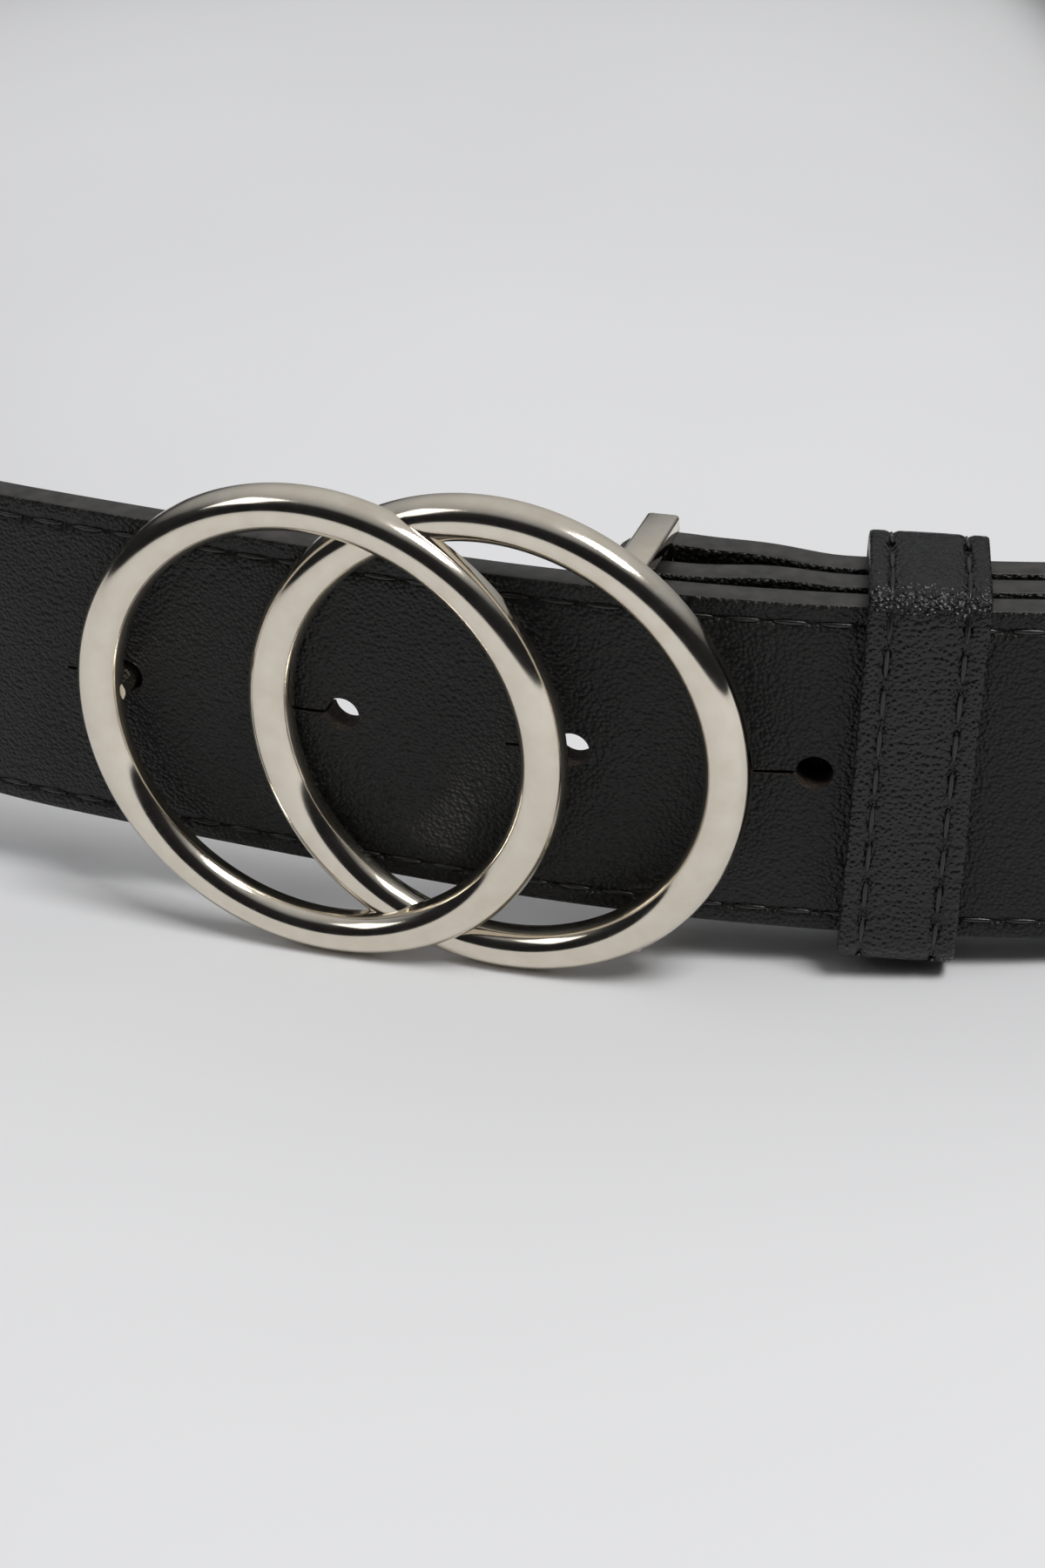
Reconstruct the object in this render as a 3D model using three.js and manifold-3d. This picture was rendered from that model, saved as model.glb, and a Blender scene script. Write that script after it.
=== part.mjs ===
// A waist belt with a double-ring buckle, fastened into a loop and standing on its lower edge.
// Units are millimetres. +X runs along the buckle, -Y is the front, +Z is up.
// The strap is one piece of synthetic leather: it starts as a short flap on the inside, folds round the
// buckle's bar, goes once round the loop, passes behind both rings and ends in a free tip.

import * as THREE from 'three';
import { mergeVertices } from 'three/addons/utils/BufferGeometryUtils.js';
import Module from 'manifold-3d';

const wasm = await Module();
wasm.setup();

// Driving dimensions
const STRAP_WIDTH = 38;
const STRAP_THICKNESS = 3;
const HOLE_PITCH = 24.4;
const HOLE_COUNT = 5;
const HOLES_BEFORE_STUD = 1;
const HOLE_RADIUS = 1.9;
const SLIT_LENGTH = 5;
const SLIT_WIDTH = 0.5;
const TIP_PAST_LAST_HOLE = 100;
const RING_RADIUS = 26.85;
const RING_SPACING = 18.6;
const LIMB_WIDTH = 4.8;
const DOME_HEIGHT = 2.35;
const WALL_HEIGHT = 0.45;
const REAR_RING_SETBACK = 1.8;
const LEAN = 2;
const GAP = 0.35;
const LAYER_GAP = 0.9;
const STUD_INSET = 1.4;

// Places along the strap, measured as arc length from the hole that the stud holds
const BAR_STATION = 57.2;
const FLAP_END_STATION = 118;
const KEEPER_STATION = 82.8;
const TIP_STATION = (HOLE_COUNT - 1 - HOLES_BEFORE_STUD) * HOLE_PITCH + TIP_PAST_LAST_HOLE;

// Buckle parts behind the rings
const LIMB_RADIUS = RING_RADIUS - LIMB_WIDTH / 2;
const BAR_RADIUS = 1.3;
const STUD_NECK_RADIUS = 1.4;
const STUD_HEAD_RADIUS = 3.2;
const STUD_HEAD_HEIGHT = 1.6;
const LEG_WIDTH = 3.4;
const LEG_THICKNESS = 2;
const LEG_CLEARANCE = { above: 1.3, below: 0.1 };
const LOWER_LEG_SHIFT = -1.7;

// Keeper loop
const KEEPER_WIDTH = 11.8;
const KEEPER_WALL = 2;
const KEEPER_CORNER = 2.8;
const KEEPER_TILT = -0.08;
const KEEPER_EDGE = 0.4;

// Strap edge and curve resolution
const EDGE_ROUND = 0.6;
const FINE_STEP = 3;
const COARSE_STEP = 9;
const FOLD_STEPS = 10;
const HALF_OVERLAP = 40;
const TIP_LENGTH = 16;
const TIP_NOSE = 5;
const TIP_STEPS = 9;

const ringPlaneHeight = RING_RADIUS;
const frontRingX = -RING_SPACING / 2;
const rearRingX = RING_SPACING / 2;
const studX = frontRingX - LIMB_RADIUS + STUD_INSET;
const lean = LEAN * Math.PI / 180;
// the strap's front face clears the flat back of the rear ring, which leans back towards its top
const strapFrontY = REAR_RING_SETBACK + WALL_HEIGHT + GAP + Math.sin(lean) * STRAP_WIDTH / 2;
const layerStep = STRAP_THICKNESS + LAYER_GAP;

// The loop, as the middle of the outer layer: arcs in turn, counter-clockwise seen from above, starting at the
// stud. A turn of 0 is a straight side, whose length is worked out so that the loop closes.
const LOOP_START = { x: studX, y: strapFrontY + STRAP_THICKNESS / 2, heading: -1 };
const LOOP_ARCS = [
  { name: 'front, almost flat', length: 33, turn: 2 },
  { name: 'front right', length: 92, turn: 24 },
  { name: 'right bend', length: 101, turn: 91 },
  { name: 'right side', length: null, turn: 0 },
  { name: 'back', length: 460, turn: 191 },
  { name: 'left side', length: null, turn: 0 },
  { name: 'left bend', length: 95, turn: 51 },
  { name: 'front left', length: 10, turn: 1 },
];

const radians = (degrees) => degrees * Math.PI / 180;
const mix = (a, b, t) => a + (b - a) * t;
const smooth = (low, high, value) => THREE.MathUtils.smoothstep(value, low, high);

// The chord of an arc of the given length and turn that starts along the given heading
function arcStep(heading, length, turn) {
  const half = turn / 2;
  const chord = Math.abs(half) < 1e-9 ? length : length * Math.sin(half) / half;
  return new THREE.Vector2(Math.cos(heading + half) * chord, Math.sin(heading + half) * chord);
}

// Fills in the lengths of the two straight sides and the start of every arc
function closeLoop() {
  const rows = [];
  const sum = new THREE.Vector2();
  let heading = radians(LOOP_START.heading);
  for (const { length, turn } of LOOP_ARCS) {
    const row = { heading, length, turn: radians(turn) };
    if (length !== null) sum.add(arcStep(heading, length, row.turn));
    rows.push(row);
    heading += row.turn;
  }
  const [right, left] = rows.filter((row) => row.length === null);
  const a = arcStep(right.heading, 1, 0);
  const b = arcStep(left.heading, 1, 0);
  const cross = a.x * b.y - a.y * b.x;
  right.length = (-sum.x * b.y + sum.y * b.x) / cross;
  left.length = (-a.x * sum.y + a.y * sum.x) / cross;
  const place = new THREE.Vector2(LOOP_START.x, LOOP_START.y);
  let station = 0;
  for (const row of rows) {
    row.start = place.clone();
    row.station = station;
    place.add(arcStep(row.heading, row.length, row.turn));
    station += row.length;
  }
  return { rows, length: station };
}

const loop = closeLoop();

// Point, heading and outward normal at an arc length along the loop
function loopFrame(station) {
  const wrapped = THREE.MathUtils.euclideanModulo(station, loop.length);
  const row = loop.rows.findLast((candidate) => candidate.station <= wrapped);
  const along = wrapped - row.station;
  const turned = row.turn * along / row.length;
  const point = row.start.clone().add(arcStep(row.heading, along, turned));
  const heading = row.heading + turned;
  return { point, heading, normal: new THREE.Vector2(Math.sin(heading), -Math.cos(heading)) };
}

function loopPoint(station, outward) {
  const { point, normal } = loopFrame(station);
  return point.addScaledVector(normal, outward);
}

// Height of the strap's lower edge: the buckle is taller than the strap and lifts it off the floor
const LIFT = { atStud: 8.95, perMillimetre: -0.0537, from: -42, to: 100, leftFade: 220, rightFade: 120 };

function lift(station) {
  const around = station > loop.length / 2 ? station - loop.length : station;
  const rise = Math.max(LIFT.atStud + LIFT.perMillimetre * around, 0);
  const left = smooth(LIFT.from - LIFT.leftFade, LIFT.from, around);
  const right = 1 - smooth(LIFT.to, LIFT.to + LIFT.rightFade, around);
  return rise * left * right;
}

// How far inside the outer layer the second and third layers lie
const SECOND_LAYER = { slack: 0.8, centre: 68.5, halfWidth: 8 };
const FLAP = { overBar: 2 * (BAR_RADIUS + GAP) + STRAP_THICKNESS, closedBy: 18 };

function secondOffset(station) {
  const away = Math.min(Math.abs(station - SECOND_LAYER.centre) / SECOND_LAYER.halfWidth, 1);
  const opening = SECOND_LAYER.slack * (1 + Math.cos(Math.PI * away)) / 2;
  const tipClearance = 0.8 * smooth(KEEPER_STATION + KEEPER_WIDTH, TIP_STATION - 20, station);
  return -(layerStep + opening + tipClearance);
}

function flapOffset(station) {
  const closing = smooth(BAR_STATION, BAR_STATION + FLAP.closedBy, station);
  return secondOffset(station) - mix(FLAP.overBar, layerStep, closing);
}

// Stations from start to end, fine near the buckle and coarse elsewhere
function stations(start, end) {
  const list = [];
  const sign = Math.sign(end - start);
  let station = start;
  while (sign * (end - station) > 0.5 * FINE_STEP) {
    list.push(station);
    const near = station < TIP_STATION + 10 || station > loop.length - 60;
    station += sign * (near ? FINE_STEP : COARSE_STEP);
  }
  list.push(end);
  return list;
}

function tipStations(end) {
  const list = [];
  for (let i = 1; i <= TIP_STEPS; i++) list.push(end - TIP_LENGTH * Math.cos(Math.PI / 2 * i / TIP_STEPS));
  return list;
}

// How far the strap's edges draw in, this far short of the tip
function tipInset(toTip) {
  const along = 1 - Math.min(toTip / TIP_LENGTH, 1);
  return (STRAP_WIDTH / 2 - TIP_NOSE) * (1 - Math.sqrt(1 - along ** 3));
}

// The strap's middle line from the flap's end to the tip, with the height of its lower edge
function strapLine() {
  const line = [];
  for (const station of stations(FLAP_END_STATION, BAR_STATION)) {
    line.push({ point: loopPoint(station, flapOffset(station)), bottom: lift(station) });
  }
  const inner = loopPoint(BAR_STATION, flapOffset(BAR_STATION));
  const outer = loopPoint(BAR_STATION, secondOffset(BAR_STATION));
  const centre = inner.clone().add(outer).multiplyScalar(0.5);
  for (let i = 1; i < FOLD_STEPS; i++) {
    const turned = inner.clone().rotateAround(centre, Math.PI * i / FOLD_STEPS);
    line.push({ point: turned, bottom: lift(BAR_STATION) });
  }
  const merge = { from: TIP_STATION + 12, to: loop.length - 120 };
  const end = loop.length + TIP_STATION;
  for (const station of [...stations(BAR_STATION, end - TIP_LENGTH), ...tipStations(end)]) {
    const firstLap = station < loop.length - HALF_OVERLAP;
    const outward = firstLap ? secondOffset(station) * (1 - smooth(merge.from, merge.to, station)) : 0;
    line.push({ point: loopPoint(station, outward), bottom: lift(station), inset: tipInset(end - station) });
  }
  return line;
}

// Section of the strap as [outwards, up] pairs, with its four long edges rounded off
function strapSection(inset = 0) {
  const half = STRAP_THICKNESS / 2;
  const flat = half - EDGE_ROUND;
  const low = inset;
  const top = STRAP_WIDTH - inset;
  return [
    [flat, low], [half, low + EDGE_ROUND], [half, top - EDGE_ROUND], [flat, top],
    [-flat, top], [-half, top - EDGE_ROUND], [-half, low + EDGE_ROUND], [-flat, low],
  ];
}

// Closed skin through the section at every point of the line
function strapSkin(line) {
  const size = strapSection().length;
  const vertices = [];
  for (let i = 0; i < line.length; i++) {
    const before = line[Math.max(i - 1, 0)].point;
    const after = line[Math.min(i + 1, line.length - 1)].point;
    const along = after.clone().sub(before).normalize();
    for (const [outward, up] of strapSection(line[i].inset)) {
      const x = line[i].point.x + along.y * outward;
      const y = line[i].point.y - along.x * outward;
      vertices.push(x, y, line[i].bottom + up);
    }
  }
  const index = [];
  for (let i = 0; i + 1 < line.length; i++) {
    for (let j = 0; j < size; j++) {
      const a = i * size + j;
      const b = i * size + (j + 1) % size;
      index.push(a, a + size, b, b, a + size, b + size);
    }
  }
  const last = (line.length - 1) * size;
  for (let j = 1; j + 1 < size; j++) {
    index.push(0, j, j + 1);
    index.push(last, last + j + 1, last + j);
  }
  const geometry = new THREE.BufferGeometry();
  geometry.setAttribute('position', new THREE.Float32BufferAttribute(vertices, 3));
  geometry.setIndex(index);
  return geometry;
}

// Closed mesh to solid and back
function toSolid(geometry) {
  geometry.deleteAttribute('normal');
  geometry.deleteAttribute('uv');
  const merged = mergeVertices(geometry, 1e-4);
  const vertProperties = new Float32Array(merged.attributes.position.array);
  const triVerts = new Uint32Array(merged.index.array);
  return new wasm.Manifold(new wasm.Mesh({ numProp: 3, vertProperties, triVerts }));
}

function toGeometry(solid) {
  const mesh = solid.getMesh();
  const geometry = new THREE.BufferGeometry();
  geometry.setAttribute('position', new THREE.BufferAttribute(mesh.vertProperties, 3));
  geometry.setIndex(new THREE.BufferAttribute(mesh.triVerts, 1));
  geometry.computeVertexNormals();
  return geometry;
}

// A frame on the outer layer: x along the strap, y inwards, z up, origin at mid-width on the middle line
function stationMatrix(station, tilt = 0) {
  const { point, heading } = loopFrame(station);
  const matrix = new THREE.Matrix4().makeRotationZ(heading);
  matrix.multiply(new THREE.Matrix4().makeRotationY(-tilt));
  matrix.setPosition(point.x, point.y, lift(station) + STRAP_WIDTH / 2);
  return matrix;
}

// Round hole with the short slit that lets the stud's head through
function holeCutter(station) {
  const depth = STRAP_THICKNESS + 2 * GAP;
  const matrix = stationMatrix(station);
  const hole = new THREE.CylinderGeometry(HOLE_RADIUS, HOLE_RADIUS, depth, 20);
  hole.applyMatrix4(matrix);
  const slit = new THREE.BoxGeometry(SLIT_LENGTH, depth, SLIT_WIDTH);
  slit.translate(-HOLE_RADIUS - SLIT_LENGTH / 2 + 0.5, 0, 0);
  slit.applyMatrix4(matrix);
  return toSolid(hole).add(toSolid(slit));
}

function buildStrap() {
  let solid = toSolid(strapSkin(strapLine()));
  for (let i = 0; i < HOLE_COUNT; i++) {
    solid = solid.subtract(holeCutter((i - HOLES_BEFORE_STUD) * HOLE_PITCH));
  }
  return toGeometry(solid);
}

// Rounded rectangle path in the plane across the strap
function roundedRectangle(path, left, bottom, width, height, radius) {
  const right = left + width;
  const top = bottom + height;
  path.moveTo(left + radius, bottom);
  path.lineTo(right - radius, bottom);
  path.absarc(right - radius, bottom + radius, radius, -Math.PI / 2, 0);
  path.lineTo(right, top - radius);
  path.absarc(right - radius, top - radius, radius, 0, Math.PI / 2);
  path.lineTo(left + radius, top);
  path.absarc(left + radius, top - radius, radius, Math.PI / 2, Math.PI);
  path.lineTo(left, bottom + radius);
  path.absarc(left + radius, bottom + radius, radius, Math.PI, 1.5 * Math.PI);
  return path;
}

// The keeper is a closed band round all three layers
function buildKeeper() {
  const front = STRAP_THICKNESS / 2 + GAP;
  const back = flapOffset(KEEPER_STATION) - STRAP_THICKNESS / 2 - GAP - 0.1;
  const depth = front - back;
  const height = STRAP_WIDTH + 2 * GAP + 0.6;
  const wall = KEEPER_WALL - KEEPER_EDGE;
  const shape = new THREE.Shape();
  roundedRectangle(shape, back - wall, -height / 2 - wall, depth + 2 * wall, height + 2 * wall, KEEPER_CORNER);
  const opening = new THREE.Path();
  roundedRectangle(opening, back - KEEPER_EDGE, -height / 2 - KEEPER_EDGE, depth + 2 * KEEPER_EDGE,
    height + 2 * KEEPER_EDGE, 0.9);
  shape.holes.push(opening);
  const geometry = new THREE.ExtrudeGeometry(shape, {
    depth: KEEPER_WIDTH - 2 * KEEPER_EDGE,
    bevelThickness: KEEPER_EDGE,
    bevelSize: KEEPER_EDGE,
    bevelSegments: 2,
    curveSegments: 5,
  });
  geometry.translate(0, 0, -KEEPER_WIDTH / 2 + KEEPER_EDGE);
  // shape x becomes outwards, shape y up and the extrusion runs along the strap
  const across = new THREE.Matrix4().makeBasis(
    new THREE.Vector3(0, -1, 0), new THREE.Vector3(0, 0, 1), new THREE.Vector3(-1, 0, 0));
  geometry.applyMatrix4(across);
  geometry.applyMatrix4(stationMatrix(KEEPER_STATION, KEEPER_TILT));
  return toGeometry(toSolid(geometry));
}

// D-shaped section turned into a ring: domed front, flat back
function ringSolid(x, setback) {
  const DOME_STEPS = 8;
  const profile = [];
  for (let i = 0; i <= DOME_STEPS; i++) {
    const angle = Math.PI * i / DOME_STEPS;
    profile.push(new THREE.Vector2(LIMB_RADIUS + Math.cos(angle) * LIMB_WIDTH / 2, DOME_HEIGHT * Math.sin(angle)));
  }
  profile.push(new THREE.Vector2(LIMB_RADIUS - LIMB_WIDTH / 2, -WALL_HEIGHT));
  profile.push(new THREE.Vector2(LIMB_RADIUS + LIMB_WIDTH / 2, -WALL_HEIGHT));
  profile.push(profile[0].clone());
  const geometry = new THREE.LatheGeometry(profile, 72);
  geometry.rotateX(Math.PI - lean);
  geometry.translate(x, setback, ringPlaneHeight);
  return toSolid(geometry);
}

// Middle height of the flat lug above (side 1) or below (side -1) the strap
function legHeight(side) {
  const edge = lift(BAR_STATION) + (side > 0 ? STRAP_WIDTH : 0);
  const clearance = side > 0 ? LEG_CLEARANCE.above : LEG_CLEARANCE.below;
  return edge + side * (GAP + clearance + LEG_THICKNESS / 2);
}

// Flat lug straight back from the rear ring to the bar
function legSolid(side, bar) {
  const start = REAR_RING_SETBACK + WALL_HEIGHT - 0.2 + side * Math.sin(lean) * LIMB_RADIUS;
  const end = bar.y + BAR_RADIUS;
  const geometry = new THREE.BoxGeometry(LEG_WIDTH, end - start, LEG_THICKNESS);
  const x = bar.x + (side > 0 ? 0 : LOWER_LEG_SHIFT);
  geometry.translate(x, (start + end) / 2, legHeight(side));
  return toSolid(geometry);
}

function barSolid(bar) {
  const height = legHeight(1) - legHeight(-1);
  const geometry = new THREE.CylinderGeometry(BAR_RADIUS, BAR_RADIUS, height, 14);
  geometry.rotateX(Math.PI / 2);
  geometry.translate(bar.x, bar.y, (legHeight(1) + legHeight(-1)) / 2);
  return toSolid(geometry);
}

// Stud with a mushroom head, turned about its own axis, from the front ring's back through the first hole
function studSolid() {
  const neckEnd = strapFrontY + STRAP_THICKNESS + 2 * GAP;
  const profile = [
    new THREE.Vector2(0, 0),
    new THREE.Vector2(STUD_NECK_RADIUS, 0),
    new THREE.Vector2(STUD_NECK_RADIUS, neckEnd),
    new THREE.Vector2(STUD_HEAD_RADIUS, neckEnd + 0.4),
    new THREE.Vector2(STUD_HEAD_RADIUS * 0.8, neckEnd + STUD_HEAD_HEIGHT * 0.8),
    new THREE.Vector2(0, neckEnd + STUD_HEAD_HEIGHT),
  ];
  const geometry = new THREE.LatheGeometry(profile, 16);
  geometry.translate(studX, 0, lift(0) + STRAP_WIDTH / 2);
  return toSolid(geometry);
}

function buildBuckle() {
  const inner = loopPoint(BAR_STATION, flapOffset(BAR_STATION));
  const outer = loopPoint(BAR_STATION, secondOffset(BAR_STATION));
  const bar = inner.add(outer).multiplyScalar(0.5);
  let solid = ringSolid(frontRingX, 0).add(ringSolid(rearRingX, REAR_RING_SETBACK));
  solid = solid.add(legSolid(1, bar)).add(legSolid(-1, bar)).add(barSolid(bar)).add(studSolid());
  return toGeometry(solid);
}

const nickel = new THREE.MeshStandardMaterial({ color: 0xc9c2b4, roughness: 0.16, metalness: 1 });
const strapLeather = new THREE.MeshStandardMaterial({ color: 0x17150f, roughness: 0.5, metalness: 0 });
const keeperLeather = new THREE.MeshStandardMaterial({ color: 0x1b1a16, roughness: 0.42, metalness: 0 });

const group = new THREE.Group();
for (const [name, geometry, material] of [
  ['strap', buildStrap(), strapLeather],
  ['keeper', buildKeeper(), keeperLeather],
  ['ring_buckle', buildBuckle(), nickel],
]) {
  const mesh = new THREE.Mesh(geometry, material);
  mesh.name = name;
  group.add(mesh);
}

// The origin is the centre of the underside
const box = new THREE.Box3().setFromObject(group);
const centre = box.getCenter(new THREE.Vector3());
group.position.set(-centre.x, -centre.y, -box.min.z);
group.updateMatrixWorld(true);

export default group;
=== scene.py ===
import math
import bmesh
import bpy
from mathutils import Matrix, Vector


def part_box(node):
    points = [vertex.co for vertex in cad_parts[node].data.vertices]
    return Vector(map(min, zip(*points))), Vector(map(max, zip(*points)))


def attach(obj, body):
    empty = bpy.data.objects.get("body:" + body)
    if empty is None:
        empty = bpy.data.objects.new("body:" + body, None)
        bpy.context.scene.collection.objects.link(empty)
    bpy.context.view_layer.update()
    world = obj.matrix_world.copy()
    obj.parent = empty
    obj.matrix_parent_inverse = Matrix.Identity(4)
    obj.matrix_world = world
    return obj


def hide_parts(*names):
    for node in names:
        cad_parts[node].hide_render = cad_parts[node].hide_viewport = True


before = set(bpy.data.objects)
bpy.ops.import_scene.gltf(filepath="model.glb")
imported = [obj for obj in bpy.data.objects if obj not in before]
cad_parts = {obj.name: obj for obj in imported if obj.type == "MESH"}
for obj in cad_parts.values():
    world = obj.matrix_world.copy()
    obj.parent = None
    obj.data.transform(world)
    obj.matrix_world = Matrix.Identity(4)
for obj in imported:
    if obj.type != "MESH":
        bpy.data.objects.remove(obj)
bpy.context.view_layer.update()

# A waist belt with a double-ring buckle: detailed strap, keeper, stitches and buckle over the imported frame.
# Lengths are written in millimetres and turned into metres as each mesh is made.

MM = 0.001
MM_PER_METRE = 1000
UV_UNIT = 100.0
ON_AXIS = 1e-4
STRAP_SHARP_ANGLE = math.radians(40)
BUCKLE_SHARP_ANGLE = math.radians(38)

# Sizes shared with the frame. A station is a length in mm along the strap from the stud.
STRAP_WIDTH = 38.0
STRAP_THICKNESS = 3.0
HOLE_PITCH = 24.4
HOLE_COUNT = 5
HOLES_BEFORE_STUD = 1
HOLE_RADIUS = 1.9
SLIT_LENGTH = 5.0
SLIT_WIDTH = 0.5
TIP_PAST_LAST_HOLE = 100
TIP_STATION = (HOLE_COUNT - 1 - HOLES_BEFORE_STUD) * HOLE_PITCH + TIP_PAST_LAST_HOLE
TIP_LENGTH = 16.0
TIP_NOSE = 5.0
RING_RADIUS = 26.85
RING_SPACING = 18.6
LIMB_WIDTH = 4.8
LIMB_RADIUS = RING_RADIUS - LIMB_WIDTH / 2
DOME_HEIGHT = 2.35
WALL_HEIGHT = 0.45
REAR_RING_SETBACK = 1.8
LEAN = math.radians(2)
GAP = 0.35
LAYER_GAP = 0.9
STUD_INSET = 1.4
BAR_STATION = 57.2
FLAP_END_STATION = 118.0
KEEPER_STATION = 82.8
KEEPER_WIDTH = 11.8
KEEPER_WALL = 2.0
BAR_RADIUS = 1.3
STUD_X = -RING_SPACING / 2 - LIMB_RADIUS + STUD_INSET
STRAP_FRONT = REAR_RING_SETBACK + WALL_HEIGHT + GAP + math.sin(LEAN) * STRAP_WIDTH / 2
LAYER_STEP = STRAP_THICKNESS + LAYER_GAP
LIFT_AT_STUD = 8.95
LIFT_SLOPE = -0.0537
LIFT_LEFT = (-262, -42)
LIFT_RIGHT = (100, 220)
SLACK = 0.8
SLACK_CENTRE = 68.5
SLACK_HALF_WIDTH = 8.0
FLAP_CLOSING = 18.0
KEEPER_CORNER = 0.9
KEEPER_CLEARANCE = 0.3
KEEPER_BACK_CLEARANCE = 0.1
KEEPER_TILT = -0.08
LEG = {
    "width": 3.4, "thickness": 2.0, "round": 0.45,
    "above": GAP + 1.3, "below": GAP + 0.1, "lower_shift": -1.7,
}
STUD_SHANK_RADIUS = 1.4

# The frame's own place: its origin is the centre of its underside
ring_low, ring_high = (corner * MM_PER_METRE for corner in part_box("ring_buckle"))
SHIFT = Vector((
    ring_high.x - RING_SPACING / 2 - RING_RADIUS,
    ring_low.y + DOME_HEIGHT * math.cos(LEAN) + LIMB_RADIUS * math.sin(LEAN),
    ring_high.z - RING_RADIUS * (1 + math.cos(LEAN)),
))

# Stitching
STITCH_INSET = 2.2
STITCH_PITCH = 4.6
STITCH_LENGTH = 3.5
STITCH_RADIUS = 0.3

# The loop: arcs in turn, counter-clockwise from the stud, as (length in mm, turn in degrees).
# A length of None is a straight side, solved so that the loop closes.
LOOP_ARCS = [(33, 2), (92, 24), (101, 91), (None, 0), (460, 191), (None, 0), (95, 51), (10, 1)]
LOOP_FIRST_HEADING = math.radians(-1)

# Camera: fitted to the strap's edges, the holes, the keeper and both rings.
# Angles are in degrees, places in mm from the foot of the front ring's middle.
CAMERA = {
    "lens": 72.0, "elevation": 31.491, "roll": 4.014, "yaw": 21.477,
    "right": 120.33, "back": -250.06, "height": 187.73,
}

# Softboxes: direction as (right, back, up) from the buckle as the camera stands, distance and size in metres
SOFTBOXES = [
    {"name": "key_softbox", "direction": (0.4, -0.4, 1.0), "distance": 1.8, "size": 0.6, "watts": 22.0},
    {"name": "left_fill", "direction": (-0.9, -0.3, 0.8), "distance": 1.5, "size": 0.5, "watts": 1.5},
]
SOFTBOX_AIM = Vector((0, 0, 25))
ROOM_COLOURS = ((0.0, "#28292c"), (0.35, "#343538"), (0.6, "#c4c6c9"), (1.0, "#f4f5f7"))
ROOM_BACKDROP = 0.4
ROOM_STRENGTH = 0.6
FLOOR_REACH = 3.0


def arc_step(heading, length, turn):
    """The chord of an arc that starts along the heading."""
    half = turn / 2
    chord = length if abs(half) < 1e-9 else length * math.sin(half) / half
    return Vector((math.cos(heading + half) * chord, math.sin(heading + half) * chord))


def close_loop():
    """The arcs with their starts, the straight sides solved so that the loop closes, and its length."""
    heading = LOOP_FIRST_HEADING
    total = Vector((0, 0))
    rows = []
    for length, degrees in LOOP_ARCS:
        turn = math.radians(degrees)
        if length is not None:
            total += arc_step(heading, length, turn)
        rows.append({"heading": heading, "length": length, "turn": turn})
        heading += turn
    right, left = [row for row in rows if row["length"] is None]
    right_way = arc_step(right["heading"], 1, 0)
    left_way = arc_step(left["heading"], 1, 0)
    cross = right_way.x * left_way.y - right_way.y * left_way.x
    right["length"] = (-total.x * left_way.y + total.y * left_way.x) / cross
    left["length"] = (-right_way.x * total.y + right_way.y * total.x) / cross
    place = Vector((STUD_X, STRAP_FRONT + STRAP_THICKNESS / 2))
    station = 0.0
    for row in rows:
        row["start"] = place.copy()
        row["station"] = station
        place = place + arc_step(row["heading"], row["length"], row["turn"])
        station += row["length"]
    return rows, station


ROWS, LOOP_LENGTH = close_loop()


def loop_frame(station):
    """Point and heading of the outer layer's middle line."""
    wrapped = station % LOOP_LENGTH
    row = [candidate for candidate in ROWS if candidate["station"] <= wrapped][-1]
    along = wrapped - row["station"]
    turned = row["turn"] * along / row["length"]
    return row["start"] + arc_step(row["heading"], along, turned), row["heading"] + turned


def loop_point(station, outward):
    """A point this far outside the outer layer's middle line."""
    point, heading = loop_frame(station)
    return point + Vector((math.sin(heading), -math.cos(heading))) * outward


def smooth(low, high, value):
    """An eased step from 0 at low to 1 at high."""
    t = min(max((value - low) / (high - low), 0), 1)
    return t * t * (3 - 2 * t)


def lift(station):
    """Height of the strap's lower edge."""
    around = station % LOOP_LENGTH
    if around > LOOP_LENGTH / 2:
        around -= LOOP_LENGTH
    rise = max(LIFT_AT_STUD + LIFT_SLOPE * around, 0)
    return rise * smooth(*LIFT_LEFT, around) * (1 - smooth(*LIFT_RIGHT, around))


def second_offset(station):
    """How far inside the outer layer the second layer lies."""
    away = min(abs(station - SLACK_CENTRE) / SLACK_HALF_WIDTH, 1)
    opening = SLACK * (1 + math.cos(math.pi * away)) / 2
    spread = SLACK * smooth(KEEPER_STATION + KEEPER_WIDTH, TIP_STATION - 20, station)
    return -(LAYER_STEP + opening + spread)


def flap_offset(station):
    """The same for the flap's layer, which closes up to the second one past the bar."""
    over_bar = 2 * (BAR_RADIUS + GAP) + STRAP_THICKNESS
    closing = smooth(BAR_STATION, BAR_STATION + FLAP_CLOSING, station)
    return second_offset(station) - (over_bar + (LAYER_STEP - over_bar) * closing)


def stations(start, end):
    """Stations from start to end, fine near the buckle and coarse elsewhere."""
    fine, coarse, least = 1.5, 5.0, 0.8
    fine_until = TIP_STATION + 10
    fine_from = LOOP_LENGTH - 60
    result = []
    sign = 1 if end > start else -1
    station = start
    while sign * (end - station) > least:
        result.append(station)
        near = station < fine_until or station > fine_from
        station += sign * (fine if near else coarse)
    result.append(end)
    return result


def tip_inset(to_tip):
    """How far the rounded tip draws each edge in, this far from the strap's end."""
    along = 1 - min(to_tip / TIP_LENGTH, 1)
    return (STRAP_WIDTH / 2 - TIP_NOSE) * (1 - math.sqrt(1 - along ** 3))


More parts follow.
